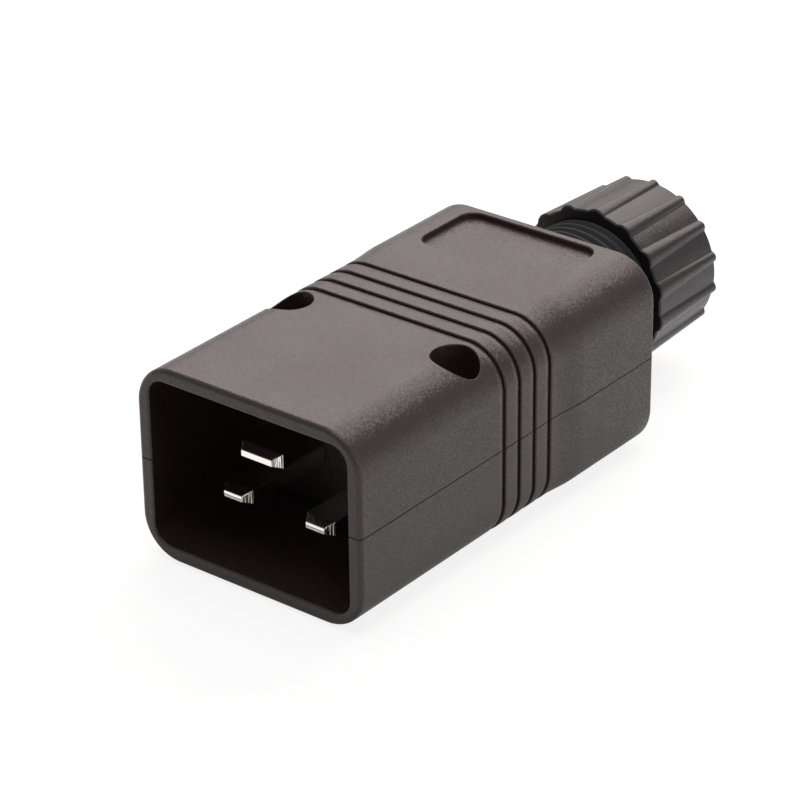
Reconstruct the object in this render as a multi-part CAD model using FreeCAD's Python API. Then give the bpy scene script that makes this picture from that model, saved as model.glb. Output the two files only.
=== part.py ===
import FreeCAD, Part
import math
import os

# A rewireable plug: two moulded shells, three blades in a carrier, and a screw gland for the cord.
# All sizes are millimetres. While the pieces are made, Y runs from the mating lip at 0 towards the
# cord, X runs to the right as seen from the front, and Z is measured from the parting plane.

# Shroud and housing
cavity_width = 28.5
cavity_height = 21.0
cavity_depth = 18.3
wall = 1.8
shroud_corner = 5.2
cavity_corner = 2.2
lip_round = 0.6
mouth_round = 0.3
housing_length = 55.5
rear_wall = 4.0
rear_round = 0.45
rear_swell_side = 0.4
rear_swell_top = 0.2
parting_gap = 0.12
parting_depth = 0.2

# Grip grooves and the swell behind them
groove_count = 4
groove_pitch = 2.9
groove_depth = 0.42
groove_slope_radius = 2.2
groove_edge_round = 0.2
groove_lead = 1.4
land_rise = 0.05
flare_lead = 1.0
flare_length = 5.0
flare_steps = 4

# Label recess on top of the rear body
recess_width = 19.3
recess_length = 10.9
recess_depth = 0.7
recess_margin = 1.25
recess_shift = -0.4
recess_corner = 2.0
recess_rim_round = 0.2

# Housing screws and the side blocks that hold them
screw_well_radius = 2.8
screw_well_round = 0.1
screw_side_wall = 1.25
screw_seat_height = 4.0
screw_shank_radius = 1.45
screw_head_radius = 2.5
screw_head_height = 2.0
screw_length = 12.5
screw_slot_width = 0.7
screw_slot_depth = 0.9
screw_shank_gap = 0.15
screw_pilot_gap = 0.05
screw_tip_room = 0.8
block_length = 7.8
block_wall = 1.2

# Pin carrier
carrier_gap = 0.1
carrier_flange = 2.5
carrier_rib_length = 1.4
carrier_rib_height = 1.3
carrier_rib_width = 10.0
partition_thickness = 1.0
partition_reach = 10.2
partition_margin = 1.2

# Blades and their wire boxes
pin_spacing = 12.0
pin_offset = 8.0
pin_lift = 0.2
pin_thickness = 1.75
line_pin_width = 4.1
earth_pin_width = 5.85
line_tip_setback = 4.3
earth_tip_setback = 1.7
pin_tip_length = 1.2
pin_tip_side_bevel = 0.75
pin_tip_flat_bevel = 0.5
pin_edge_round = 0.1
pin_slot_gap = 0.05
terminal_width = 6.4
terminal_height = 6.2
terminal_length = 9.0
terminal_end_wall = 1.5
tunnel_width = 4.2
tunnel_height = 3.4

# Clamp screws and pressure plates
clamp_screw_radius = 1.45
clamp_screw_gap = 0.05
clamp_screw_setback = 3.6
clamp_screw_tip = 0.6
clamp_head_radius = 2.2
clamp_head_height = 1.4
clamp_head_clearance = 0.5
clamp_slot_width = 0.6
clamp_slot_depth = 0.7
plate_thickness = 0.8
plate_length = 5.6
plate_gap = 0.15

# Gland body, fingers and bush
gland_radius = 9.3
gland_lift = 0.3
gland_fit = 0.05
gland_reach = 13.6
gland_throat_radius = 5.6
gland_socket_radius = 7.6
gland_socket_depth = 11.0
gland_end_bevel = 0.5
thread_pitch = 1.41
thread_depth = 0.6
thread_root_flat = 0.36
thread_crest_flat = 0.3
thread_lead = 0.7
flange_radius = 11.6
flange_thickness = 2.2
flange_gap = 0.2
flange_rib = 1.6
flange_rib_bore = 8.2
claw_wall = 1.3
claw_relief = 0.4
claw_reach = 2.4
claw_slots = 8
claw_slot_width = 1.0
claw_finger_length = 9.0
seal_radius = 4.7
seal_end_gap = 0.5

# Gland nut and its slip ring
nut_gap = 10.1
nut_length = 13.2
nut_front_radius = 10.6
nut_rear_radius = 10.07
nut_end_wall = 1.5
nut_mouth_radius = 5.8
nut_cone_length = 2.5
nut_rear_bevel = 0.4
nut_front_bevel = 0.2
rib_count = 15
rib_rise = 0.47
rib_front_width = 2.3
rib_rear_width = 1.3
rib_turn = 4.0
rib_foot_round = 0.25
ring_radius = 7.6
ring_length = 1.2
ring_bevel = 0.6

# Worked out from the sizes above
shroud_width = cavity_width + 2 * wall
shroud_height = cavity_height + 2 * wall
land_width = shroud_width + 2 * land_rise
land_height = shroud_height + 2 * land_rise
land_corner = shroud_corner + land_rise
rear_width = shroud_width + 2 * rear_swell_side
rear_height = shroud_height + 2 * rear_swell_top
rear_corner = shroud_corner + rear_swell_top
chamber_end = housing_length - rear_wall
block_end = cavity_depth + block_length
screw_x = shroud_width / 2 - screw_side_wall - screw_well_radius
screw_y = cavity_depth + block_length / 2
upper_block_x = screw_x - screw_well_radius - block_wall
lower_block_x = screw_x - screw_shank_radius - screw_pilot_gap - block_wall
groove_start = screw_y + screw_well_radius + groove_lead
groove_end = groove_start + (groove_count - 1) * groove_pitch
flare_start = groove_end + flare_lead
flare_end = flare_start + flare_length
recess_end = housing_length - recess_margin
recess_start = recess_end - recess_length
recess_left = recess_shift - recess_width / 2
recess_right = recess_shift + recess_width / 2
carrier_end = block_end + carrier_flange
terminal_end = carrier_end + terminal_length
tunnel_start = carrier_end + terminal_end_wall
clamp_screw_y = terminal_end - clamp_screw_setback
earth_z = pin_offset / 2 + pin_lift
line_z = earth_z - pin_offset
clamp_room = cavity_height / 2 - earth_z - terminal_height / 2
clamp_head_standoff = clamp_room - clamp_head_height - clamp_head_clearance
flange_front = chamber_end - flange_thickness
gland_end = housing_length + gland_reach
socket_start = gland_end - gland_socket_depth
claw_radius = gland_socket_radius - gland_fit
claw_bore = claw_radius - claw_wall
claw_end = gland_end + claw_reach
nut_front = housing_length + nut_gap
nut_end = nut_front + nut_length
ring_end = nut_end - nut_end_wall
ring_start = ring_end - ring_length
nut_cone_start = ring_start - nut_cone_length
nut_bore = gland_radius + gland_fit
overshoot = 1.0
tiny = 1e-6

# The finished part stands on its lowest face, with its middle over the origin.
place = FreeCAD.Vector(0, -nut_end / 2, shroud_height / 2 + max(rear_swell_top, land_rise))


def block(x0, x1, y0, y1, z0, z1):
    """A box between two corners."""
    return Part.makeBox(x1 - x0, y1 - y0, z1 - z0, FreeCAD.Vector(x0, y0, z0))


def rod(radius, y0, y1):
    """A round bar on the gland's axis."""
    return Part.makeCylinder(radius, y1 - y0, FreeCAD.Vector(0, y0, gland_lift), FreeCAD.Vector(0, 1, 0))


def cone(radius0, radius1, y0, y1):
    """A tapered bar on the gland's axis."""
    foot = FreeCAD.Vector(0, y0, gland_lift)
    return Part.makeCone(radius0, radius1, y1 - y0, foot, FreeCAD.Vector(0, 1, 0))


def turned(shape, share):
    """A shape turned about the gland's axis by a share of a full turn."""
    shape.rotate(FreeCAD.Vector(0, 0, gland_lift), FreeCAD.Vector(0, 1, 0), 360.0 * share)
    return shape


def post(radius, x, y, z0, z1):
    """An upright round bar."""
    return Part.makeCylinder(radius, z1 - z0, FreeCAD.Vector(x, y, z0))


def rounded_outline(width, height, corner, y):
    """A rounded rectangle across the plug, as a closed wire."""
    half_x = width / 2
    half_z = height / 2
    inset = corner * (1 - math.sqrt(0.5))
    edges = []
    for turn in range(4):
        sx = (1, -1, -1, 1)[turn]
        sz = (1, 1, -1, -1)[turn]
        side = FreeCAD.Vector(sx * half_x, y, sz * (half_z - corner))
        middle = FreeCAD.Vector(sx * (half_x - inset), y, sz * (half_z - inset))
        top = FreeCAD.Vector(sx * (half_x - corner), y, sz * half_z)
        ends = (side, top) if turn % 2 == 0 else (top, side)
        if edges:
            edges.append(Part.makeLine(last, ends[0]))
        else:
            first = ends[0]
        edges.append(Part.Arc(ends[0], middle, ends[1]).toShape())
        last = ends[1]
    edges.append(Part.makeLine(last, first))
    return Part.Wire(edges)


def rounded_bar(width, height, corner, y0, y1):
    """A bar along the plug with a rounded rectangle as its section."""
    face = Part.Face(rounded_outline(width, height, corner, y0))
    return face.extrude(FreeCAD.Vector(0, y1 - y0, 0))


def edges_at(shape, y):
    """The edges of a shape that lie in one plane across the plug."""
    return [e for e in shape.Edges if max(abs(e.BoundBox.YMin - y), abs(e.BoundBox.YMax - y)) < tiny]


def flare():
    """The smooth swell from the lands' section to the rear body's section."""
    outlines = []
    for step in range(flare_steps + 1):
        share = step / flare_steps
        ease = share * share * (3 - 2 * share)
        width = land_width + (rear_width - land_width) * ease
        height = land_height + (rear_height - land_height) * ease
        corner = land_corner + (rear_corner - land_corner) * ease
        outlines.append(rounded_outline(width, height, corner, flare_start + flare_length * share))
    return Part.makeLoft(outlines, True, False)


def land_outline(y):
    """The lands' outline at one place along the plug."""
    return rounded_outline(land_width, land_height, land_corner, y)


def groove(y, sink):
    """A ring to cut from the housing: a round slope that falls towards a step, which faces the lip.

    The step is at y, and the surface before the slope lies below the lands by sink.
    """
    radius = groove_slope_radius
    drop = groove_depth - sink
    run = math.sqrt(radius**2 - (radius - drop) ** 2)
    half_turn = math.asin(run / radius) / 2
    path = land_outline(y)
    on_land = path.Edges[0].valueAt(path.Edges[0].FirstParameter)
    slope_start = on_land + FreeCAD.Vector(-sink, -run, 0)
    half_fall = radius * (1 - math.cos(half_turn))
    middle = slope_start + FreeCAD.Vector(-half_fall, radius * math.sin(half_turn), 0)
    foot = on_land + FreeCAD.Vector(-groove_depth, 0, 0)
    clear_step = on_land + FreeCAD.Vector(overshoot, 0, 0)
    clear_slope = clear_step + FreeCAD.Vector(0, -run, 0)
    section = Part.Wire(
        [
            Part.Arc(slope_start, middle, foot).toShape(),
            Part.makeLine(foot, clear_step),
            Part.makeLine(clear_step, clear_slope),
            Part.makeLine(clear_slope, slope_start),
        ]
    )
    return path.makePipe(Part.Face(section))


def groove_rims(form):
    """The edges where the grooves' steps meet the lands."""
    rims = []
    for n in range(groove_count):
        y = groove_start + n * groove_pitch
        outline = land_outline(y)
        for edge in edges_at(form, y):
            middle = edge.valueAt((edge.FirstParameter + edge.LastParameter) / 2)
            if Part.Vertex(middle).distToShape(outline)[0] < tiny:
                rims.append(edge)
    return rims


def parting_line():
    """The thin ring of air that shows where the two shells meet."""
    inset_front = shroud_width / 2 - parting_depth
    inset_rear = rear_width / 2 - parting_depth
    rear = housing_length - parting_depth
    right = [
        (inset_front, parting_depth),
        (inset_front, flare_start),
        (inset_rear, flare_end),
        (inset_rear, rear),
    ]
    left = [(-x, y) for x, y in reversed(right)]
    points = [FreeCAD.Vector(x, y, -parting_gap / 2) for x, y in right + left]
    kept = Part.Face(Part.makePolygon(points + points[:1])).extrude(FreeCAD.Vector(0, 0, parting_gap))
    reach = rear_width / 2 + overshoot
    slab = block(-reach, reach, -overshoot, housing_length + overshoot, -parting_gap / 2, parting_gap / 2)
    return slab.cut(kept)


def outer_form():
    """The housing's outside as one solid, with its lip, lands, swell and grooves."""
    front = rounded_bar(shroud_width, shroud_height, shroud_corner, 0, groove_end)
    front = front.makeFillet(lip_round, edges_at(front, 0))
    lands = rounded_bar(land_width, land_height, land_corner, groove_start, flare_start)
    rear = rounded_bar(rear_width, rear_height, rear_corner, flare_end, housing_length)
    rear = rear.makeFillet(rear_round, edges_at(rear, housing_length))
    form = front.fuse([lands, flare(), rear]).removeSplitter()
    sinks = [land_rise] + [0] * (groove_count - 1)
    form = form.cut([groove(groove_start + n * groove_pitch, sink) for n, sink in enumerate(sinks)])
    return form.makeFillet(groove_edge_round, groove_rims(form))


def inside_wall(y0, y1):
    """A bar that reaches half-way into the housing's wall, to root blocks and ribs in it."""
    return rounded_bar(cavity_width + wall, cavity_height + wall, cavity_corner + wall / 2, y0, y1)


def side_blocks():
    """The four blocks that close the cavity's sides and carry the housing screws."""
    root = inside_wall(cavity_depth, block_end)
    outer_x = shroud_width / 2
    outer_z = shroud_height / 2
    blocks = []
    for inner_x, z0, z1 in ((upper_block_x, 0, outer_z), (lower_block_x, -outer_z, 0)):
        blocks.append(root.common(block(inner_x, outer_x, cavity_depth, block_end, z0, z1)))
        blocks.append(root.common(block(-outer_x, -inner_x, cavity_depth, block_end, z0, z1)))
    return blocks


def inner_ribs():
    """The ribs that stop the carrier and the gland's flange from sliding."""
    inner = cavity_height / 2
    half = carrier_rib_width / 2
    foot = inner - carrier_rib_height
    into_wall = inner + wall / 2
    rib_end = carrier_end + carrier_rib_length
    top = block(-half, half, carrier_end, rib_end, foot, into_wall)
    bottom = block(-half, half, carrier_end, rib_end, -into_wall, -foot)
    stop_start = flange_front - flange_gap - flange_rib
    stop_end = stop_start + flange_rib
    stop = inside_wall(stop_start, stop_end)
    stop = stop.cut(rod(flange_rib_bore, stop_start - overshoot, stop_end + overshoot))
    return [top, bottom, stop]


def housing():
    """Both shells in one, hollow, before they are parted."""
    hollow = rounded_bar(cavity_width, cavity_height, cavity_corner, 0, chamber_end)
    form = outer_form().cut(hollow)
    mouth = [e for e in edges_at(form, 0) if abs(e.CenterOfMass.x) < cavity_width / 2 + mouth_round]
    mouth = [e for e in mouth if abs(e.CenterOfMass.z) < cavity_height / 2 + mouth_round]
    form = form.makeFillet(mouth_round, mouth)
    form = form.fuse(side_blocks() + inner_ribs()).removeSplitter()
    form = form.cut(rod(nut_bore, chamber_end - overshoot, housing_length + overshoot))
    return form.cut(parting_line())


def half_space(upper):
    """A box that holds everything above or below the parting plane."""
    reach = rear_width / 2 + overshoot
    height = rear_height / 2 + overshoot
    z0 = 0 if upper else -height
    return block(-reach, reach, -overshoot, housing_length + overshoot, z0, z0 + height)


def well_rims(shell):
    """The edges where the two screw wells come out of the upper shell."""
    rims = []
    for edge in shell.Edges:
        ends = (edge.FirstParameter, edge.LastParameter)
        points = [edge.valueAt(step) for step in (ends[0], sum(ends) / 2, ends[1])]
        reach = [math.hypot(abs(p.x) - screw_x, p.y - screw_y) for p in points]
        on_wall = max(abs(r - screw_well_radius) for r in reach) < tiny
        if on_wall and edge.BoundBox.ZMin > screw_seat_height + screw_head_height:
            rims.append(edge)
    return rims


def recess_rim(shell):
    """The edges round the label recess where it meets the top."""
    top = rear_height / 2
    rim = []
    for edge in shell.Edges:
        box = edge.BoundBox
        level = max(abs(box.ZMin - top), abs(box.ZMax - top)) < tiny
        within = box.XMin > recess_left - tiny and box.XMax < recess_right + tiny
        if level and within and box.YMin > recess_start - tiny and box.YMax < recess_end + tiny:
            rim.append(edge)
    return rim


def upper_shell(form):
    """The upper shell, with its two screw wells and its label recess."""
    shell = form.common(half_space(True))
    top = rear_height / 2 + overshoot
    cuts = []
    for side in (-1, 1):
        cuts.append(post(screw_well_radius, side * screw_x, screw_y, screw_seat_height, top))
        cuts.append(post(screw_shank_radius + screw_shank_gap, side * screw_x, screw_y, -overshoot, top))
    floor = rear_height / 2 - recess_depth
    recess = block(recess_left, recess_right, recess_start, recess_end, floor, top)
    upright = [e for e in recess.Edges if e.BoundBox.ZLength > recess_depth]
    cuts.append(recess.makeFillet(recess_corner, upright))
    shell = shell.cut(cuts)
    shell = shell.makeFillet(screw_well_round, well_rims(shell))
    return shell.makeFillet(recess_rim_round, recess_rim(shell))


def lower_shell(form):
    """The lower shell, with the two blind holes that the housing screws bite into."""
    shell = form.common(half_space(False))
    depth = screw_seat_height - screw_length - screw_tip_room
    holes = []
    for side in (-1, 1):
        holes.append(post(screw_shank_radius + screw_pilot_gap, side * screw_x, screw_y, depth, overshoot))
    return shell.cut(holes)


def slotted_screw(shank_radius, shank_length, head_radius, head_height, slot_width, slot_depth):
    """A screw that points down, with the underside of its head at the origin."""
    shank = post(shank_radius, 0, 0, -shank_length, 0)
    head = post(head_radius, 0, 0, 0, head_height)
    rim = [e for e in head.Edges if e.BoundBox.ZMin > head_height / 2]
    head = head.makeFillet(slot_depth / 2, rim)
    half = slot_width / 2
    slot = block(-head_radius, head_radius, -half, half, head_height - slot_depth, head_height + overshoot)
    return head.fuse(shank).removeSplitter().cut(slot)


def housing_screw(side):
    """One of the two screws that draw the shells together."""
    screw = slotted_screw(
        screw_shank_radius,
        screw_length,
        screw_head_radius,
        screw_head_height,
        screw_slot_width,
        screw_slot_depth,
    )
    screw.translate(FreeCAD.Vector(side * screw_x, screw_y, screw_seat_height))
    return screw


def blade_places():
    """The name, middle, width, tip and clamp side of each blade."""
    return {
        "line": (pin_spacing / 2, line_z, line_pin_width, line_tip_setback, -1),
        "neutral": (-pin_spacing / 2, line_z, line_pin_width, line_tip_setback, -1),
        "earth": (0, earth_z, earth_pin_width, earth_tip_setback, 1),
    }


def flat_outline(x, z, width, height, y):
    """A rectangle across the plug, as a closed wire."""
    xs = (x - width / 2, x + width / 2)
    zs = (z - height / 2, z + height / 2)
    corners = [(xs[0], zs[0]), (xs[1], zs[0]), (xs[1], zs[1]), (xs[0], zs[1]), (xs[0], zs[0])]
    return Part.makePolygon([FreeCAD.Vector(a, y, b) for a, b in corners])


def pin(x, z, width, tip, side):
    """A blade with a bevelled tip, and the wire box behind the carrier."""
    tip_outline = flat_outline(
        x, z, width - 2 * pin_tip_side_bevel, pin_thickness - 2 * pin_tip_flat_bevel, tip
    )
    full_outline = flat_outline(x, z, width, pin_thickness, tip + pin_tip_length)
    point = Part.makeLoft([tip_outline, full_outline], True, True)
    half_w = width / 2
    half_t = pin_thickness / 2
    blade = block(x - half_w, x + half_w, tip + pin_tip_length, carrier_end, z - half_t, z + half_t)
    blade = point.fuse(blade).removeSplitter()
    free_edges = [e for e in blade.Edges if e.BoundBox.YMin < carrier_end - tiny]
    blade = blade.makeFillet(pin_edge_round, free_edges)
    half_w = terminal_width / 2
    half_h = terminal_height / 2
    box = block(x - half_w, x + half_w, carrier_end, terminal_end, z - half_h, z + half_h)
    half_w = tunnel_width / 2
    half_h = tunnel_height / 2
    tunnel = block(x - half_w, x + half_w, tunnel_start, terminal_end + overshoot, z - half_h, z + half_h)
    face_z = z + side * terminal_height / 2
    hole_z = sorted((z, face_z + side * overshoot))
    hole = post(clamp_screw_radius + clamp_screw_gap, x, clamp_screw_y, hole_z[0], hole_z[1])
    return blade.fuse(box).removeSplitter().cut([tunnel, hole])


def clamp_screw(x, z, side):
    """The screw that presses a wire in its box; its head stands a little proud."""
    wire_box_wall = (terminal_height - tunnel_height) / 2
    screw = slotted_screw(
        clamp_screw_radius,
        clamp_head_standoff + wire_box_wall + clamp_screw_tip,
        clamp_head_radius,
        clamp_head_height,
        clamp_slot_width,
        clamp_slot_depth,
    )
    if side < 0:
        screw.rotate(FreeCAD.Vector(0, 0, 0), FreeCAD.Vector(0, 1, 0), 180)
    head_seat = terminal_height / 2 + clamp_head_standoff
    screw.translate(FreeCAD.Vector(x, clamp_screw_y, z + side * head_seat))
    return screw


def clamp_plate(x, z, side):
    """The pressure plate at the tip of a clamp screw."""
    half = tunnel_width / 2 - plate_gap
    tip_z = z + side * (tunnel_height / 2 - clamp_screw_tip)
    edges_z = sorted((tip_z, tip_z - side * plate_thickness))
    y0 = clamp_screw_y - plate_length / 2
    return block(x - half, x + half, y0, y0 + plate_length, edges_z[0], edges_z[1])


def pin_carrier():
    """The insulating block that holds the blades and parts their wire boxes."""
    high = cavity_height / 2 - carrier_gap
    upper = upper_block_x - carrier_gap
    lower = lower_block_x - carrier_gap
    top_half = block(-upper, upper, cavity_depth, block_end, 0, high)
    bottom_half = block(-lower, lower, cavity_depth, block_end, -high, 0)
    wide = cavity_width - 2 * carrier_gap
    flange = rounded_bar(wide, 2 * high, cavity_corner, block_end, carrier_end)
    middle_z = (earth_z + line_z) / 2
    half = partition_thickness / 2
    reach = carrier_end + partition_reach
    side = pin_spacing / 2 + terminal_width / 2 + partition_margin
    shelf = block(-side, side, carrier_end, reach, middle_z - half, middle_z + half)
    web_foot = line_z - terminal_height / 2 - partition_margin
    web = block(-half, half, carrier_end, reach, web_foot, middle_z)
    body = top_half.fuse([bottom_half, flange, shelf, web]).removeSplitter()
    slots = []
    for x, z, width, tip, clamp_side in blade_places().values():
        half_w = width / 2 + pin_slot_gap
        half_t = pin_thickness / 2 + pin_slot_gap
        slots.append(block(x - half_w, x + half_w, 0, carrier_end, z - half_t, z + half_t))
    return body.cut(slots)


def thread_groove():
    """The winding groove that leaves the collar's thread standing; it starts on top."""
    root = gland_radius - thread_depth
    outside = gland_radius + gland_fit
    slope = (thread_pitch - thread_root_flat - thread_crest_flat) / 2 / thread_depth
    half_root = thread_root_flat / 2
    half_outside = half_root + slope * (outside - root)
    corners = [(root, -half_root), (outside, -half_outside), (outside, half_outside), (root, half_root)]
    points = [FreeCAD.Vector(radius, 0, along) for radius, along in corners]
    section = Part.makePolygon(points + points[:1])
    helix = Part.makeLongHelix(thread_pitch, gland_reach - thread_lead + thread_pitch, root, 0)
    groove = Part.Wire(helix).makePipeShell([section], True, True)
    groove.rotate(FreeCAD.Vector(0, 0, 0), FreeCAD.Vector(1, 0, 0), -90)
    groove.translate(FreeCAD.Vector(0, housing_length + thread_lead, gland_lift))
    return turned(groove, -1 / 4)


def gland_body():
    """The collar that the nut screws on, with a flatted flange held between the shells."""
    flange = rod(flange_radius, flange_front, chamber_end)
    flat = cavity_height / 2 - carrier_gap
    flange = flange.common(block(-flange_radius, flange_radius, flange_front, chamber_end, -flat, flat))
    collar = rod(gland_radius, flange_front, gland_end - gland_end_bevel)
    nose = cone(gland_radius, gland_radius - gland_end_bevel, gland_end - gland_end_bevel, gland_end)
    body = flange.fuse([collar, nose]).removeSplitter()
    throat = rod(gland_throat_radius, flange_front - overshoot, gland_end + overshoot)
    socket = rod(gland_socket_radius, socket_start, gland_end + overshoot)
    return body.cut([throat, socket]).cut(thread_groove())


def gland_claw():
    """A ring of springy fingers that grips the bush when the nut is tightened."""
    finger_start = claw_end - claw_finger_length
    base = rod(claw_radius, socket_start, finger_start)
    fingers = rod(claw_radius - claw_relief, finger_start, claw_end)
    claw = base.fuse(fingers).removeSplitter()
    cuts = [rod(claw_bore, socket_start - overshoot, claw_end + overshoot)]
    for n in range(claw_slots):
        half = claw_slot_width / 2
        top = gland_lift + claw_radius + overshoot
        slot = block(-half, half, finger_start, claw_end + overshoot, gland_lift, top)
        cuts.append(turned(slot, n / claw_slots))
    return claw.cut(cuts)


def gland_seal():
    """The rubber bush that the cord passes through."""
    bush = rod(claw_bore - gland_fit, socket_start, claw_end - seal_end_gap)
    return bush.cut(rod(seal_radius, socket_start - overshoot, claw_end))


def gland_slip_ring():
    """The ring that travels with the nut and leans on the fingers."""
    ring = rod(ring_radius - gland_fit, ring_start, ring_end)
    hole = rod(nut_mouth_radius, ring_start - overshoot, ring_end + overshoot)
    bevel = cone(nut_mouth_radius + ring_bevel, nut_mouth_radius, ring_start, ring_start + ring_bevel)
    return ring.cut([hole, bevel])


def about_axis(radius, turn, y):
    """A point at a distance from the gland's axis, turned from upright."""
    return FreeCAD.Vector(radius * math.sin(turn), y, gland_lift + radius * math.cos(turn))


def nut_outline(y, inset):
    """The nut's outline at one place along it: round-backed ribs with filleted feet."""
    share = (y - nut_front) / nut_length
    base = nut_front_radius + (nut_rear_radius - nut_front_radius) * share - inset
    width = rib_front_width + (rib_rear_width - rib_front_width) * share
    back = (width**2 / 4 + rib_rise**2) / (2 * rib_rise)
    rib_axis = base + rib_rise - back
    foot_axis = base + rib_foot_round
    apart = back + rib_foot_round
    spread = math.acos((foot_axis**2 + rib_axis**2 - apart**2) / (2 * foot_axis * rib_axis))
    pitch = 2 * math.pi / rib_count
    nut_axis = FreeCAD.Vector(0, y, gland_lift)
    edges = []
    for n in range(rib_count):
        turn = math.radians(rib_turn) + n * pitch
        middle = about_axis(rib_axis, turn, y)
        foot_points = []
        for side in (-1, 1):
            foot = about_axis(foot_axis, turn + side * spread, y)
            to_rib = (middle - foot).normalize()
            to_nut = (nut_axis - foot).normalize()
            hollow = foot + (to_rib + to_nut).normalize() * rib_foot_round
            on_rib = foot + to_rib * rib_foot_round
            on_base = about_axis(base, turn + side * spread, y)
            foot_points.append((on_base, hollow, on_rib))
        crest = about_axis(base + rib_rise, turn, y)
        between = about_axis(base, turn + pitch / 2, y)
        next_rib = about_axis(base, turn + pitch - spread, y)
        edges.append(Part.Arc(*foot_points[0]).toShape())
        edges.append(Part.Arc(foot_points[0][2], crest, foot_points[1][2]).toShape())
        edges.append(Part.Arc(*reversed(foot_points[1])).toShape())
        edges.append(Part.Arc(foot_points[1][0], between, next_rib).toShape())
    return Part.Wire(edges)


def gland_nut():
    """The ribbed nut, with its thread bore, its inner cone and the seat of the slip ring."""
    outlines = [
        nut_outline(nut_front, nut_front_bevel),
        nut_outline(nut_front + nut_front_bevel, 0),
        nut_outline(nut_end - nut_rear_bevel, 0),
        nut_outline(nut_end, nut_rear_bevel),
    ]
    form = Part.makeLoft(outlines, True, True)
    cuts = [rod(nut_bore, nut_front - overshoot, nut_cone_start)]
    cuts.append(cone(nut_bore, ring_radius, nut_cone_start, ring_start))
    cuts.append(rod(ring_radius, ring_start, ring_end))
    cuts.append(rod(nut_mouth_radius, ring_end - overshoot, nut_end + overshoot))
    return form.cut(cuts)


def pieces():
    """Every piece of the plug by name."""
    form = housing()
    made = {
        "upper_shell": upper_shell(form),
        "lower_shell": lower_shell(form),
        "pin_carrier": pin_carrier(),
        "left_housing_screw": housing_screw(-1),
        "right_housing_screw": housing_screw(1),
        "gland_body": gland_body(),
        "gland_claw": gland_claw(),
        "gland_seal": gland_seal(),
        "gland_slip_ring": gland_slip_ring(),
        "gland_nut": gland_nut(),
    }
    for name, (x, z, width, tip, side) in blade_places().items():
        made[name + "_pin"] = pin(x, z, width, tip, side)
        made[name + "_clamp_screw"] = clamp_screw(x, z, side)
        made[name + "_clamp_plate"] = clamp_plate(x, z, side)
    return made


os.makedirs("parts", exist_ok=True)
for name, shape in pieces().items():
    shape.translate(place)
    shape.exportStep("parts/" + name + ".step")
    print(name, "solids", len(shape.Solids), "volume", round(shape.Volume, 2), "valid", shape.isValid())
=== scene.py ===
"""Dresses a rewireable plug: two moulded shells, three plated blades and a screw gland.

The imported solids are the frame, and most of them are shown as they are, with procedural finishes.
The gland's collar is modelled here in place of its solid, with the round crests of a moulded thread.
All lengths are metres in the frame's axes: +Y runs from the mating face to the gland, +Z is up.
"""

import logging
import math
from dataclasses import dataclass, field
from enum import Enum
from functools import cache

import bmesh
import bpy
from mathutils import Matrix, Vector


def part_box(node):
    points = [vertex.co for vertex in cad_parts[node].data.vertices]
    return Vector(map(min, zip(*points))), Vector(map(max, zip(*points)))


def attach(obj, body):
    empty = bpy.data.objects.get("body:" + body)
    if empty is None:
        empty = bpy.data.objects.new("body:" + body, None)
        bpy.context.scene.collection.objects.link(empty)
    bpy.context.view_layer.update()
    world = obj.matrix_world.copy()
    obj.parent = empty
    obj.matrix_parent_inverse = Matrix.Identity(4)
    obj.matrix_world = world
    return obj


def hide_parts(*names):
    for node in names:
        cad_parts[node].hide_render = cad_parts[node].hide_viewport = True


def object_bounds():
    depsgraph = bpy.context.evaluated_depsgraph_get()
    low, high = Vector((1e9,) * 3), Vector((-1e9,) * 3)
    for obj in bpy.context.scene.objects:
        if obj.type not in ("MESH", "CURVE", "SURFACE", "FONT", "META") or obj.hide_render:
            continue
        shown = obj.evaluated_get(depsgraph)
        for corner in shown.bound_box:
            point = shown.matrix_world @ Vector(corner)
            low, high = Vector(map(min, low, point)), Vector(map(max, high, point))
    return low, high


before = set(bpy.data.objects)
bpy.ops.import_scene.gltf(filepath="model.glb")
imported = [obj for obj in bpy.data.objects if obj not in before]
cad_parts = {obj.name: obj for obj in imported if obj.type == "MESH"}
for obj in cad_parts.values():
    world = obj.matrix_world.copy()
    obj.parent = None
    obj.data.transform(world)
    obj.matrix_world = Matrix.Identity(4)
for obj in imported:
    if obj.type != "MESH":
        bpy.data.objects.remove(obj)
CAD_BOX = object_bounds()

MM = 0.001
PHOTO_WIDTH = 800
log = logging.getLogger("plug")

Triple = tuple[float, float, float]
Colour = Triple
Value = float | Triple | Vector | bpy.types.NodeSocket

WHITE: Colour = (1.0, 1.0, 1.0)
NOTHING: Triple = (0.0, 0.0, 0.0)
ALONG: Triple = (0.0, 1.0, 0.0)


def rgba(colour: Colour) -> tuple[float, float, float, float]:
    """Gives a colour with full cover, as Blender's colour sockets take it."""
    return (*colour, 1.0)


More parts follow.
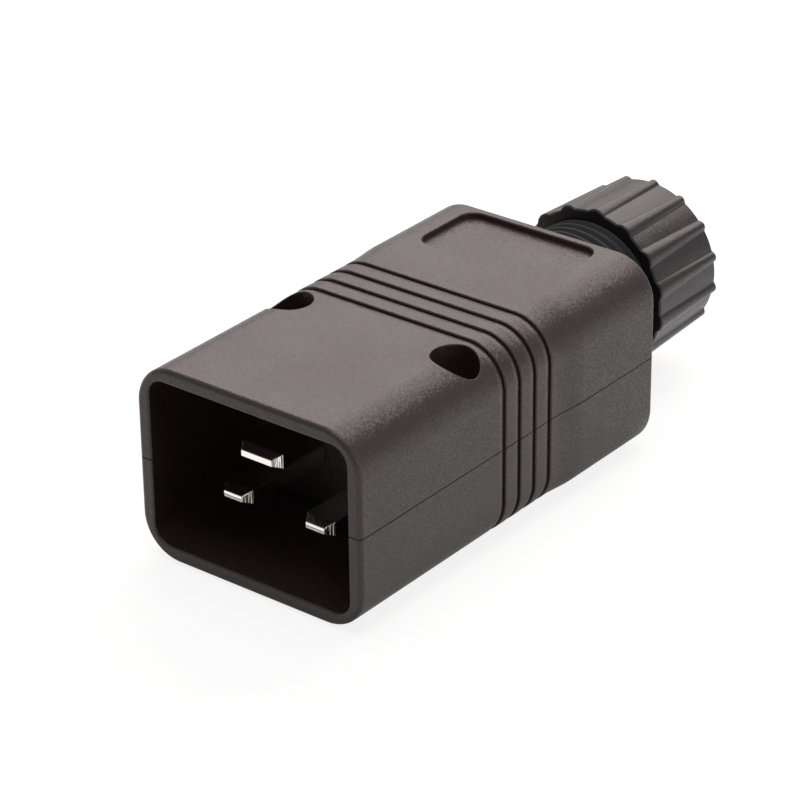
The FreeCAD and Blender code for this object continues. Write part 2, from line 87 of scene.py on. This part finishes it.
@dataclass
class NodeSheet:
    """A shader node tree that is filled one node at a time."""

    tree: bpy.types.NodeTree

    def add(
        self, kind: str, inputs: dict[str | int, Value] | None = None, **options: object
    ) -> bpy.types.Node:
        """Adds a node, sets its options, and fills or links its inputs.

        Args:
            kind: Blender's name of the node type.
            inputs: Plain values or output sockets, by the input's name or number.
            options: The node's own settings, such as its operation.
        Returns:
            The new node.
        """
        node = self.tree.nodes.new(kind)
        for name, setting in options.items():
            setattr(node, name, setting)
        for key, value in (inputs or {}).items():
            if isinstance(value, bpy.types.NodeSocket):
                self.tree.links.new(value, node.inputs[key])
            else:
                node.inputs[key].default_value = value
        return node

    def math(self, operation: str, first: Value, second: Value = 0.0) -> bpy.types.NodeSocket:
        """Adds a sum of one or two numbers.

        Args:
            operation: Blender's name of the sum, such as MULTIPLY.
            first: The first number.
            second: The second number, where the sum takes one.
        Returns:
            The result's socket.
        """
        return self.add("ShaderNodeMath", {0: first, 1: second}, operation=operation).outputs[0]

    def vector(self, operation: str, first: Value, second: Value = NOTHING) -> bpy.types.NodeSocket:
        """Adds a sum of one or two vectors.

        Args:
            operation: Blender's name of the sum, such as ADD.
            first: The first vector.
            second: The second vector, where the sum takes one.
        Returns:
            The result's socket.
        """
        return self.add("ShaderNodeVectorMath", {0: first, 1: second}, operation=operation).outputs[0]

    def length(self, vector: bpy.types.NodeSocket) -> bpy.types.NodeSocket:
        """Measures a vector's length."""
        return self.add("ShaderNodeVectorMath", {0: vector}, operation="LENGTH").outputs["Value"]

    def remap(
        self, value: Value, low: float, high: float, to_low: float = 0.0, to_high: float = 1.0
    ) -> bpy.types.NodeSocket:
        """Stretches a range of values to another range, and holds it there.

        Args:
            value: The value to stretch.
            low: The value that becomes to_low.
            high: The value that becomes to_high.
            to_low: The result at low.
            to_high: The result at high.
        Returns:
            The result's socket.
        """
        ends = {0: value, 1: low, 2: high, 3: to_low, 4: to_high}
        return self.add("ShaderNodeMapRange", ends).outputs[0]

    def mix(self, share: Value, first: Value, second: Value) -> bpy.types.NodeSocket:
        """Mixes two colours.

        Args:
            share: How much of the second colour shows.
            first: The colour at a share of 0.
            second: The colour at a share of 1.
        Returns:
            The mixed colour's socket.
        """
        return self.add("ShaderNodeMix", {0: share, 6: first, 7: second}, data_type="RGBA").outputs[2]

    def blend(self, share: Value, first: Value, second: Value) -> bpy.types.NodeSocket:
        """Mixes two numbers.

        Args:
            share: How much of the second number counts.
            first: The number at a share of 0.
            second: The number at a share of 1.
        Returns:
            The mixed number's socket.
        """
        return self.add("ShaderNodeMix", {0: share, 2: first, 3: second}).outputs[0]


class Effect(Enum):
    """The surface effects that several finishes share, each one node group."""

    GRAIN = "mould_grain"
    SPECKS = "painted_glint_specks"
    STREAKS = "drawn_streaks"


class EffectShelf:
    """Keeps one node group of each effect, and builds it when it is first asked for."""

    MIDDLE_PICK: Triple = (0.5, 0.5, 0.5)
    NOISE_BAND = (0.3, 0.7)
    CLOUD_DETAIL = 3.0
    STREAK_DETAIL = 2.0

    def __init__(self) -> None:
        """Starts with an empty shelf."""
        self._made: dict[Effect, bpy.types.NodeTree] = {}

    def place(self, sheet: NodeSheet, effect: Effect, **inputs: Value) -> bpy.types.Node:
        """Puts an effect into a material.

        Args:
            sheet: The material's nodes.
            effect: Which effect to place.
            inputs: The effect's own values, by the names of its inputs in small letters.
        Returns:
            The group's node in the material.
        """
        if effect not in self._made:
            builders = {
                Effect.GRAIN: self._grain,
                Effect.SPECKS: self._specks,
                Effect.STREAKS: self._streaks,
            }
            self._made[effect] = builders[effect]()
        node = sheet.add("ShaderNodeGroup", node_tree=self._made[effect])
        for name, value in inputs.items():
            node.inputs[name.replace("_", " ").capitalize()].default_value = value
        return node

    def _group(
        self, effect: Effect, inputs: dict[str, str], outputs: dict[str, str]
    ) -> tuple[NodeSheet, bpy.types.Node, bpy.types.Node]:
        """Starts an empty node group with its sockets.

        Args:
            effect: The effect that the group makes.
            inputs: The socket type of each input by its name.
            outputs: The socket type of each output by its name.
        Returns:
            The group's sheet, its input node and its output node.
        """
        tree = bpy.data.node_groups.new(effect.value, "ShaderNodeTree")
        for name, kind in inputs.items():
            tree.interface.new_socket(name, in_out="INPUT", socket_type=kind)
        for name, kind in outputs.items():
            tree.interface.new_socket(name, in_out="OUTPUT", socket_type=kind)
        sheet = NodeSheet(tree)
        return sheet, sheet.add("NodeGroupInput"), sheet.add("NodeGroupOutput")

    def _grain(self) -> bpy.types.NodeTree:
        """Builds the tiny leaning facets of a spark-eroded mould, with faint clouds across them."""
        numbers = dict.fromkeys(("Density", "Cloud density", "Lean"), "NodeSocketFloat")
        results = {"Facet": "NodeSocketFloat", "Cloud": "NodeSocketFloat", "Normal": "NodeSocketVector"}
        sheet, given, result = self._group(Effect.GRAIN, numbers, results)
        place = sheet.add("ShaderNodeTexCoord").outputs["Object"]
        cells = sheet.add("ShaderNodeTexVoronoi", {"Vector": place, "Scale": given.outputs["Density"]})
        pick = cells.outputs["Color"]
        off_middle = sheet.vector("SUBTRACT", pick, self.MIDDLE_PICK)
        lean = sheet.vector("MULTIPLY", off_middle, given.outputs["Lean"])
        facing = sheet.add("ShaderNodeNewGeometry").outputs["Normal"]
        normal = sheet.vector("NORMALIZE", sheet.vector("ADD", facing, lean))
        spread = {"Vector": place, "Scale": given.outputs["Cloud density"], "Detail": self.CLOUD_DETAIL}
        cloud = sheet.add("ShaderNodeTexNoise", spread).outputs[0]
        links = sheet.tree.links
        links.new(sheet.add("ShaderNodeSeparateColor", {0: pick}).outputs[0], result.inputs["Facet"])
        links.new(sheet.remap(cloud, *self.NOISE_BAND), result.inputs["Cloud"])
        links.new(normal, result.inputs["Normal"])
        return sheet.tree

    def _specks(self) -> bpy.types.NodeTree:
        """Builds sparse round specks for painted glints: one in some cells of a jittered grid."""
        numbers = dict.fromkeys(("Density", "Share", "Radius"), "NodeSocketFloat")
        sheet, given, result = self._group(Effect.SPECKS, numbers, {"Mask": "NodeSocketFloat"})
        place = sheet.add("ShaderNodeTexCoord").outputs["Object"]
        cells = sheet.add("ShaderNodeTexVoronoi", {"Vector": place, "Scale": given.outputs["Density"]})
        near = sheet.math("LESS_THAN", cells.outputs["Distance"], given.outputs["Radius"])
        pick = sheet.add("ShaderNodeSeparateColor", {0: cells.outputs["Color"]}).outputs[0]
        chosen = sheet.math("LESS_THAN", pick, given.outputs["Share"])
        sheet.tree.links.new(sheet.math("MULTIPLY", near, chosen), result.inputs["Mask"])
        return sheet.tree

    def _streaks(self) -> bpy.types.NodeTree:
        """Builds fine parallel streaks, stretched by a density along each axis."""
        sheet, given, result = self._group(
            Effect.STREAKS, {"Density": "NodeSocketVector"}, {"Height": "NodeSocketFloat"}
        )
        place = sheet.add("ShaderNodeTexCoord").outputs["Object"]
        stretched = sheet.vector("MULTIPLY", place, given.outputs["Density"])
        spread = {"Vector": stretched, "Scale": 1.0, "Detail": self.STREAK_DETAIL}
        lines = sheet.add("ShaderNodeTexNoise", spread).outputs[0]
        sheet.tree.links.new(sheet.remap(lines, *self.NOISE_BAND), result.inputs["Height"])
        return sheet.tree


SHELF = EffectShelf()


def new_material(name: str) -> tuple[bpy.types.Material, NodeSheet, bpy.types.Node]:
    """Starts a material with one Principled shader.

    Args:
        name: The material's name.
    Returns:
        The material, its sheet and its shader node.
    """
    material = bpy.data.materials.new(name)
    material.use_nodes = True
    sheet = NodeSheet(material.node_tree)
    return material, sheet, material.node_tree.nodes["Principled BSDF"]


@dataclass(frozen=True)
class MouldedPlastic:
    """A moulded resin with the grain of its mould.

    Args:
        name: The finish's name.
        body: The resin's colour.
        bloom: The paler colour of some facets of the grain.
        grain: The size of one facet of the grain.
        lean: How far the facets lean, as a slope.
        roughness: The roughness in the clearest and in the dullest clouds.
        specks: The share of the grid's cells that hold a pale speck, a painted glint of the grain.
        flow: How much the flow lines along the plug count in the colour.
    """

    name: str
    body: Colour
    bloom: Colour
    grain: float
    lean: float
    roughness: tuple[float, float]
    specks: float = 0.0
    flow: float = 0.0

    CLOUD_SIZE = 9 * MM
    CLOUD_SHARE = 0.3
    # Painted glints: pale specks in the colour, with their cell size, radius and colour
    SPECK_CELL = 0.45 * MM
    SPECK_RADIUS = 0.16
    PAINTED_GLINT_COLOUR = (0.14, 0.105, 0.10)
    FLOW_DENSITY = (1800.0, 60.0, 1800.0)

    @cache
    def material(self) -> bpy.types.Material:
        """Builds the finish's material, once for all the pieces that wear it."""
        material, sheet, shader = new_material(self.name)
        grain = SHELF.place(
            sheet, Effect.GRAIN, density=1 / self.grain, cloud_density=1 / self.CLOUD_SIZE, lean=self.lean
        )
        cloud = grain.outputs["Cloud"]
        share = sheet.blend(self.CLOUD_SHARE, grain.outputs["Facet"], cloud)
        if self.flow:
            lines = SHELF.place(sheet, Effect.STREAKS, density=self.FLOW_DENSITY).outputs["Height"]
            share = sheet.blend(self.flow, share, lines)
        colour = sheet.mix(share, rgba(self.body), rgba(self.bloom))
        # Pale specks painted into the colour stand in for glints of the grain.
        if self.specks:
            specks = SHELF.place(
                sheet,
                Effect.SPECKS,
                density=1 / self.SPECK_CELL,
                share=self.specks,
                radius=self.SPECK_RADIUS,
            )
            colour = sheet.mix(specks.outputs["Mask"], colour, rgba(self.PAINTED_GLINT_COLOUR))
        links = sheet.tree.links
        links.new(colour, shader.inputs["Base Color"])
        links.new(sheet.remap(cloud, 0.0, 1.0, *self.roughness), shader.inputs["Roughness"])
        links.new(grain.outputs["Normal"], shader.inputs["Normal"])
        return material


@dataclass(frozen=True)
class PlatedMetal:
    """A bright plated metal with the fine lines of how it was drawn or turned.

    Args:
        name: The finish's name.
        bright: The colour of the polished plating.
        dull: The colour in the fine lines.
        density: How many lines there are along each axis, per metre.
        relief: The depth of the lines.
        roughness: The roughness of the plating and of the lines.
    """

    name: str
    bright: Colour
    dull: Colour
    density: Triple
    relief: float
    roughness: tuple[float, float]

    def _lines(self, sheet: NodeSheet) -> bpy.types.NodeSocket:
        """Places the fine lines and gives their height."""
        return SHELF.place(sheet, Effect.STREAKS, density=self.density).outputs["Height"]

    @cache
    def material(self) -> bpy.types.Material:
        """Builds the finish's material, once for all the pieces that wear it."""
        material, sheet, shader = new_material(self.name)
        lines = self._lines(sheet)
        bump = sheet.add("ShaderNodeBump", {"Height": lines, "Distance": self.relief, "Strength": 1.0})
        links = sheet.tree.links
        links.new(sheet.mix(lines, rgba(self.dull), rgba(self.bright)), shader.inputs["Base Color"])
        links.new(sheet.remap(lines, 0.0, 1.0, *reversed(self.roughness)), shader.inputs["Roughness"])
        links.new(bump.outputs[0], shader.inputs["Normal"])
        shader.inputs["Metallic"].default_value = 1.0
        return material


@dataclass(frozen=True)
class StampedBlade(PlatedMetal):
    """A plated strip that is smooth along its length and shows the lines of the shear at its tip.

    Args:
        sheared: How many lines there are along each axis at the tip, per metre.
        break_height: The height below which the fronts of the two low blades broke away.
    """

    sheared: Triple = (4500.0, 4500.0, 250.0)
    break_height: float = 8.64 * MM

    # How bright the rolled faces are, in their lines and between them
    ROLLED_RANGE = (0.85, 1.0)
    # How far a face looks forward, as its normal's Y, where the tip and its front begin and are whole
    TIP_BAND = (-0.36, -0.50)
    FRONT_BAND = (-0.7, -0.9)
    # The part of the streaks' range that a sheared face stretches to full contrast
    SHEARED_BAND = (0.1, 0.6)
    # The break across a front: its soft edge, its dark line, and how bright the face is below it
    BREAK_BLUR = 0.03 * MM
    BREAK_LINE = 0.08 * MM
    BROKEN_LEVEL = 0.4

    def _lines(self, sheet: NodeSheet) -> bpy.types.NodeSocket:
        """Places faint lines along the blade and strong upright ones on the faces of its tip."""
        rolled = sheet.remap(super()._lines(sheet), 0.0, 1.0, *self.ROLLED_RANGE)
        place = sheet.add("ShaderNodeTexCoord").outputs
        along = sheet.add("ShaderNodeSeparateXYZ", {0: place["Normal"]}).outputs["Y"]
        height = sheet.add("ShaderNodeSeparateXYZ", {0: place["Object"]}).outputs["Z"]
        streaks = SHELF.place(sheet, Effect.STREAKS, density=self.sheared).outputs["Height"]
        sheared = sheet.remap(streaks, *self.SHEARED_BAND)
        broken = sheet.math("MULTIPLY", sheared, self.BROKEN_LEVEL)
        above = sheet.math("SUBTRACT", height, self.break_height)
        sound = sheet.remap(above, -self.BREAK_BLUR, self.BREAK_BLUR)
        line = sheet.remap(sheet.math("ABSOLUTE", above), self.BREAK_LINE / 2, self.BREAK_LINE)
        face = sheet.math("MULTIPLY", sheet.blend(sound, broken, 1.0), line)
        cut = sheet.blend(sheet.remap(along, *self.FRONT_BAND), sheared, face)
        return sheet.blend(sheet.remap(along, *self.TIP_BAND), rolled, cut)


HOUSING_PLASTIC = MouldedPlastic(
    "housing_plastic",
    body=(0.050, 0.028, 0.028),
    bloom=(0.060, 0.035, 0.035),
    grain=0.13 * MM,
    lean=0.24,
    roughness=(0.31, 0.37),
    specks=0.12,
)
CARRIER_PLASTIC = MouldedPlastic(
    "carrier_plastic",
    body=(0.020, 0.017, 0.016),
    bloom=(0.030, 0.026, 0.025),
    grain=0.20 * MM,
    lean=0.08,
    roughness=(0.45, 0.55),
)
NUT_PLASTIC = MouldedPlastic(
    "nut_plastic",
    body=(0.020, 0.014, 0.015),
    bloom=(0.032, 0.024, 0.026),
    grain=0.20 * MM,
    lean=0.08,
    roughness=(0.29, 0.37),
    flow=0.6,
)
GLAND_PLASTIC = MouldedPlastic(
    "gland_plastic",
    body=(0.008, 0.008, 0.009),
    bloom=(0.013, 0.013, 0.014),
    grain=0.20 * MM,
    lean=0.05,
    roughness=(0.56, 0.64),
)
BUSH_RUBBER = MouldedPlastic(
    "bush_rubber",
    body=(0.014, 0.014, 0.014),
    bloom=(0.030, 0.029, 0.028),
    grain=0.25 * MM,
    lean=0.15,
    roughness=(0.6, 0.75),
)
BLADE_PLATING = StampedBlade(
    "plated_blade",
    bright=(0.93, 0.90, 0.85),
    dull=(0.28, 0.26, 0.24),
    density=(6000.0, 200.0, 6000.0),
    relief=0.03 * MM,
    roughness=(0.12, 0.30),
)
SCREW_PLATING = PlatedMetal(
    "screw_steel",
    bright=(0.62, 0.62, 0.60),
    dull=(0.40, 0.40, 0.39),
    density=(5000.0, 5000.0, 1200.0),
    relief=0.003 * MM,
    roughness=(0.28, 0.45),
)
PLATE_PLATING = PlatedMetal(
    "plate_steel",
    bright=(0.60, 0.58, 0.52),
    dull=(0.42, 0.40, 0.36),
    density=(900.0, 6000.0, 6000.0),
    relief=0.003 * MM,
    roughness=(0.30, 0.45),
)


def dress_nodes(material: bpy.types.Material, *names: str) -> None:
    """Gives solids of the frame a finish.

    Args:
        material: The finish's material.
        names: The nodes that get it.
    """
    for name in names:
        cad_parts[name].data.materials[0] = material
        log.info("%s wears %s", name, material.name)


def finished_piece(bm: bmesh.types.BMesh, name: str, material: bpy.types.Material) -> bpy.types.Object:
    """Turns a bmesh into a smooth piece in the scene.

    Args:
        bm: The mesh, already in place; it is freed.
        name: The piece's name.
        material: The piece's material.
    Returns:
        The piece's object.
    """
    mesh = bpy.data.meshes.new(name)
    bm.to_mesh(mesh)
    bm.free()
    mesh.materials.append(material)
    mesh.shade_smooth()
    piece = bpy.data.objects.new(name, mesh)
    bpy.context.scene.collection.objects.link(piece)
    log.info("%s has %d faces", name, len(mesh.polygons))
    return piece


@dataclass
class Housing:
    """The two moulded shells and the two screws that draw them together."""

    shells: tuple[str, ...] = ("upper_shell", "lower_shell")
    screws: tuple[str, ...] = ("left_housing_screw", "right_housing_screw")

    def dress(self) -> None:
        """Gives the shells their grained plastic and the screws their plating."""
        dress_nodes(HOUSING_PLASTIC.material(), *self.shells)
        dress_nodes(SCREW_PLATING.material(), *self.screws)


@dataclass
class Contacts:
    """The carrier, its three blades, and the screws and plates that clamp the wires."""

    poles: tuple[str, ...] = ("line", "neutral", "earth")

    def dress(self) -> None:
        """Gives the carrier, blades, clamp screws and clamp plates their finishes."""
        dress_nodes(CARRIER_PLASTIC.material(), "pin_carrier")
        dress_nodes(BLADE_PLATING.material(), *(f"{pole}_pin" for pole in self.poles))
        dress_nodes(SCREW_PLATING.material(), *(f"{pole}_clamp_screw" for pole in self.poles))
        dress_nodes(PLATE_PLATING.material(), *(f"{pole}_clamp_plate" for pole in self.poles))


@dataclass
class Gland:
    """The cord gland: a threaded collar, gripping fingers, a rubber bush, a slip ring and a nut.

    Args:
        crest: The radius of the thread's crests.
        root: The radius of the thread's roots.
        pitch: How far one turn of the thread climbs.
        throat: The radius of the way for the cord.
        socket: The radius of the socket that holds the fingers.
        socket_depth: The depth of that socket.
        flange_thickness: The thickness of the flange that the shells hold.
        end_bevel: The length of the plain end behind the thread.
        end_taper: How much the radius shrinks over that end.
        thread_lead: The gap from the shells to the thread.
        run_out: The length over which the thread runs out at each end.
        core_step: How far the plain core lies below the roots.
        steps: The number of facets round the axis.
    """

    crest: float = 9.3 * MM
    root: float = 8.7 * MM
    pitch: float = 1.41 * MM
    throat: float = 5.6 * MM
    socket: float = 7.6 * MM
    socket_depth: float = 11.0 * MM
    flange_thickness: float = 2.2 * MM
    end_bevel: float = 0.5 * MM
    end_taper: float = 0.25 * MM
    thread_lead: float = 0.7 * MM
    run_out: float = 0.2 * MM
    core_step: float = 0.05 * MM
    steps: int = 72
    low: Vector = field(init=False)
    high: Vector = field(init=False)
    axis: Vector = field(init=False)

    # One flank of the thread: places along the pitch, and heights, as shares of pitch and depth
    FLANK = ((0.10, 0.02), (0.18, 0.20), (0.34, 0.76), (0.40, 0.91), (0.45, 0.98))
    # Spare turns that are wound before and behind the thread, and trimmed off
    TURNS_BEFORE = 2
    TURNS_BEHIND = 1
    WELD = 0.001 * MM
    SHARP_EDGE = math.radians(50)

    def __post_init__(self) -> None:
        """Takes the collar's place from the frame."""
        self.low, self.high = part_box("gland_body")
        ring_low, ring_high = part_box("gland_slip_ring")
        self.axis = Vector((0.0, 0.0, (ring_low.z + ring_high.z) / 2))

    def _line(
        self, bm: bmesh.types.BMesh, points: list[tuple[float, float]]
    ) -> list[bmesh.types.BMVert | bmesh.types.BMEdge]:
        """Draws an open line above the axis.

        Args:
            bm: The mesh that gets the line.
            points: Places along the axis, and distances from it.
        Returns:
            The line's vertices and edges.
        """
        verts = [bm.verts.new((0.0, y, self.axis.z + radius)) for y, radius in points]
        edges = [bm.edges.new(pair) for pair in zip(verts, verts[1:])]
        return verts + edges

    def _thread(self, bm: bmesh.types.BMesh, start: float, end: float) -> None:
        """Winds the thread's skin and trims it to two planes across the axis.

        Args:
            bm: The mesh that gets the skin.
            start: Where the thread begins along the axis.
            end: Where it ends.
        """
        depth = self.crest - self.root
        falling = ((1 - at, rise) for at, rise in reversed(self.FLANK))
        shape = [(0.0, 0.0), *self.FLANK, (0.5, 1.0), *falling, (1.0, 0.0)]
        first = start - self.TURNS_BEFORE * self.pitch
        points = [(first + at * self.pitch, self.root + rise * depth) for at, rise in shape]
        turns = math.ceil((end - first) / self.pitch) + self.TURNS_BEHIND
        bmesh.ops.spin(
            bm,
            geom=self._line(bm, points),
            cent=self.axis,
            axis=ALONG,
            dvec=(0.0, self.pitch / self.steps, 0.0),
            angle=2 * math.pi * turns,
            steps=self.steps * turns,
        )
        bmesh.ops.remove_doubles(bm, verts=bm.verts, dist=self.WELD)
        for place, outwards in ((start, -1.0), (end, 1.0)):
            bmesh.ops.bisect_plane(
                bm,
                geom=bm.verts[:] + bm.edges[:] + bm.faces[:],
                plane_co=(0.0, place, 0.0),
                plane_no=(0.0, outwards, 0.0),
                clear_outer=True,
            )

    def _rim(self, bm: bmesh.types.BMesh, place: float, reach: float) -> list[bmesh.types.BMEdge]:
        """Finds the open edges near a plane across the axis.

        Args:
            bm: The mesh to search.
            place: The plane's place along the axis.
            reach: How far from it an edge may lie.
        Returns:
            The open edges.
        """
        return [e for e in bm.edges if e.is_boundary and all(abs(v.co.y - place) < reach for v in e.verts)]

    def build_collar(self, material: bpy.types.Material) -> bpy.types.Object:
        """Models the collar with its thread, its flange and the socket for the fingers.

        Args:
            material: The collar's material.
        Returns:
            The collar's object.
        """
        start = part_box("upper_shell")[1].y + self.thread_lead
        end = self.high.y - self.end_bevel
        bm = bmesh.new()
        self._thread(bm, start, end)
        flange = self.high.x
        flange_rear = self.low.y + self.flange_thickness
        seat = self.high.y - self.socket_depth
        core = self.root - self.core_step
        outline = [
            (end + self.run_out, core),
            (self.high.y, core - self.end_taper),
            (self.high.y, self.socket),
            (seat, self.socket),
            (seat, self.throat),
            (self.low.y, self.throat),
            (self.low.y, flange),
            (flange_rear, flange),
            (flange_rear, core),
            (start - self.run_out, core),
        ]
        bmesh.ops.spin(
            bm,
            geom=self._line(bm, outline),
            cent=self.axis,
            axis=ALONG,
            angle=2 * math.pi,
            steps=self.steps,
            use_merge=True,
        )
        for place in (start - self.run_out / 2, end + self.run_out / 2):
            bmesh.ops.bridge_loops(bm, edges=self._rim(bm, place, self.run_out))
        for vert in bm.verts:
            vert.co.z = min(max(vert.co.z, self.low.z), self.high.z)
        bmesh.ops.remove_doubles(bm, verts=bm.verts, dist=self.WELD)
        bmesh.ops.recalc_face_normals(bm, faces=bm.faces)
        for edge in bm.edges:
            edge.smooth = edge.calc_face_angle(math.pi) < self.SHARP_EDGE
        return finished_piece(bm, "threaded_collar", material)

    def dress(self) -> None:
        """Builds the collar in place of its solid and gives the other pieces their finishes."""
        gland_plastic = GLAND_PLASTIC.material()
        collar = self.build_collar(gland_plastic)
        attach(collar, "plug")
        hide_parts("gland_body")
        dress_nodes(gland_plastic, "gland_claw", "gland_slip_ring")
        dress_nodes(BUSH_RUBBER.material(), "gland_seal")
        dress_nodes(NUT_PLASTIC.material(), "gland_nut")


@dataclass(frozen=True)
class SoftLamp:
    """A rectangular soft light.

    Args:
        name: The lamp's name.
        place: Where its middle is.
        size: Its width and height.
        power: Its power in watts.
        colour: The colour of its light.
    """

    name: str
    place: Triple
    size: tuple[float, float]
    power: float
    colour: Colour = WHITE

    def light(self, target: Vector) -> None:
        """Hangs the lamp in the scene.

        Args:
            target: The point that it faces.
        """
        data = bpy.data.lights.new(self.name, "AREA")
        data.shape = "RECTANGLE"
        data.size, data.size_y = self.size
        data.energy = self.power
        data.color = self.colour
        lamp = bpy.data.objects.new(self.name, data)
        lamp.location = self.place
        lamp.rotation_euler = (target - Vector(self.place)).to_track_quat("-Z", "Y").to_euler()
        lamp.visible_camera = False
        bpy.context.scene.collection.objects.link(lamp)


@dataclass
class Studio:
    """The floor, the lights, the surroundings and the camera.

    Args:
        azimuth: How far the camera stands round to the right of the mating face.
        elevation: How far it looks down.
        roll: How far it is turned about its own line of sight.
        distance: How far it stands from the point that it aims at.
        aim: That point.
        focal_pixels: The focal length, in pixels of the photograph.
        floor_size: The length of the floor's sides.
        floor_drop: How far the floor lies below the object, so that no faces meet.
        floor_colour: The colour that takes the object's shadow.
        floor_roughness: How dull the floor is.
        floor_glow: The floor's own brightness to the camera and in reflections.
        fade_from: How far away the floor begins to turn white for the camera.
        fade_to: How far away it is quite white.
        shade_reach: How far from the housing the floor's glow in reflections carries a painted contact
            shadow.
        shade_level: How much of its glow that painted shadow leaves at the housing.
        ambient: How strongly the room lights the object.
        room_shine: How bright the room is in reflections.
        lamps: The soft lamps.
    """

    azimuth: float = math.radians(38.424)
    elevation: float = math.radians(27.636)
    roll: float = math.radians(-0.665)
    distance: float = 364.93 * MM
    aim: Triple = (10.279 * MM, -24.969 * MM, 21.893 * MM)
    focal_pixels: float = 3297.43
    floor_size: float = 6.0
    floor_drop: float = 0.02 * MM
    floor_colour: Colour = (0.34, 0.34, 0.34)
    floor_roughness: float = 0.9
    floor_glow: float = 0.85
    fade_from: float = 0.4
    fade_to: float = 1.0
    shade_reach: float = 5 * MM
    shade_level: float = 0.4
    ambient: float = 0.06
    room_shine: float = 0.52
    lamps: tuple[SoftLamp, ...] = (
        SoftLamp("back_softbox", (-0.22, 0.56, 0.52), (0.95, 0.62), 4.0, (1.0, 0.90, 0.855)),
        SoftLamp("overhead_softbox", (0.05, -0.05, 0.70), (0.50, 0.50), 1.4),
        SoftLamp("right_fill", (0.65, 0.10, 0.22), (0.45, 0.35), 0.5),
    )

    # The camera sees from the first to the second of these shares of its distance
    CLIP_SHARES = (0.1, 100.0)

    def _gap_to_housing(self, sheet: NodeSheet, place: bpy.types.NodeSocket) -> bpy.types.NodeSocket:
        """Measures how far points of the floor lie outside the housing's footprint.

        Args:
            sheet: The floor's nodes.
            place: The points' coordinates.
        Returns:
            The distance's socket.
        """
        low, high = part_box("lower_shell")
        offset = sheet.vector("SUBTRACT", place, (low + high) / 2)
        beyond = sheet.vector("SUBTRACT", sheet.vector("ABSOLUTE", offset), (high - low) / 2)
        return sheet.length(sheet.vector("MAXIMUM", beyond, NOTHING))

    def _floor_glow(self, sheet: NodeSheet) -> bpy.types.NodeSocket:
        """Works out how bright the floor looks to the camera and in the object's gloss, where a painted
        contact shadow dims it near the housing.

        Args:
            sheet: The floor's nodes.
        Returns:
            The socket of the emission's strength, which is 0 for rays that light the object.
        """
        path = sheet.add("ShaderNodeLightPath").outputs
        place = sheet.add("ShaderNodeTexCoord").outputs["Object"]
        far = sheet.remap(sheet.length(place), self.fade_from, self.fade_to, self.floor_glow, 1.0)
        seen = sheet.math("MULTIPLY", path["Is Camera Ray"], far)
        # The floor's glow in reflections is dimmed near the housing: a painted contact shadow.
        gap = self._gap_to_housing(sheet, place)
        darkest = self.floor_glow * self.shade_level
        shaded = sheet.remap(gap, 0.0, self.shade_reach, darkest, self.floor_glow)
        mirrored = sheet.math("MAXIMUM", path["Is Glossy Ray"], path["Is Transmission Ray"])
        return sheet.math("ADD", seen, sheet.math("MULTIPLY", mirrored, shaded))

    def build_floor(self) -> None:
        """Lays a plain pale floor that keeps the object's soft shadow and fades to white far away."""
        bm = bmesh.new()
        level = Matrix.Translation((0.0, 0.0, CAD_BOX[0].z - self.floor_drop))
        bmesh.ops.create_grid(bm, x_segments=1, y_segments=1, size=self.floor_size / 2, matrix=level)
        material, sheet, shader = new_material("pale_floor")
        shader.inputs["Base Color"].default_value = rgba(self.floor_colour)
        shader.inputs["Roughness"].default_value = self.floor_roughness
        shader.inputs["Specular IOR Level"].default_value = 0.0
        shader.inputs["Emission Color"].default_value = rgba(WHITE)
        sheet.tree.links.new(self._floor_glow(sheet), shader.inputs["Emission Strength"])
        finished_piece(bm, "floor", material)

    def build_world(self) -> None:
        """Surrounds the object with a dim room that lights it gently and looks white from the camera."""
        world = bpy.data.worlds.new("studio")
        world.use_nodes = True
        bpy.context.scene.world = world
        sheet = NodeSheet(world.node_tree)
        path = sheet.add("ShaderNodeLightPath").outputs
        lit = sheet.remap(path["Is Glossy Ray"], 0.0, 1.0, self.ambient, self.room_shine)
        seen = sheet.math("MAXIMUM", path["Is Camera Ray"], path["Is Transmission Ray"])
        strength = sheet.math("MAXIMUM", seen, lit)
        background = world.node_tree.nodes["Background"]
        background.inputs["Color"].default_value = rgba(WHITE)
        sheet.tree.links.new(strength, background.inputs["Strength"])

    def build_lamps(self) -> None:
        """Hangs the soft lamps, all facing the object's middle."""
        low, high = CAD_BOX
        for lamp in self.lamps:
            lamp.light((low + high) / 2)

    def build_camera(self) -> None:
        """Sets the camera where the photograph was taken from."""
        flat = math.cos(self.elevation)
        back = Vector(
            (math.sin(self.azimuth) * flat, -math.cos(self.azimuth) * flat, math.sin(self.elevation))
        )
        data = bpy.data.cameras.new("camera")
        data.lens = data.sensor_width * self.focal_pixels / PHOTO_WIDTH
        data.clip_start, data.clip_end = (self.distance * share for share in self.CLIP_SHARES)
        camera = bpy.data.objects.new("camera", data)
        turn = (-back).to_track_quat("-Z", "Y").to_matrix() @ Matrix.Rotation(self.roll, 3, "Z")
        camera.matrix_world = Matrix.LocRotScale(Vector(self.aim) + back * self.distance, turn, None)
        bpy.context.scene.collection.objects.link(camera)
        bpy.context.scene.camera = camera

    def build(self) -> None:
        """Builds the whole studio and sets a plain view transform."""
        self.build_floor()
        self.build_world()
        self.build_lamps()
        self.build_camera()
        bpy.context.scene.view_settings.view_transform = "Standard"


def main() -> None:
    """Dresses the plug piece by piece, and sets the studio round it."""
    logging.basicConfig(level=logging.INFO, format="%(name)s: %(message)s")
    Housing().dress()
    Contacts().dress()
    Gland().dress()
    Studio().build()


if __name__ == "__main__":
    main()
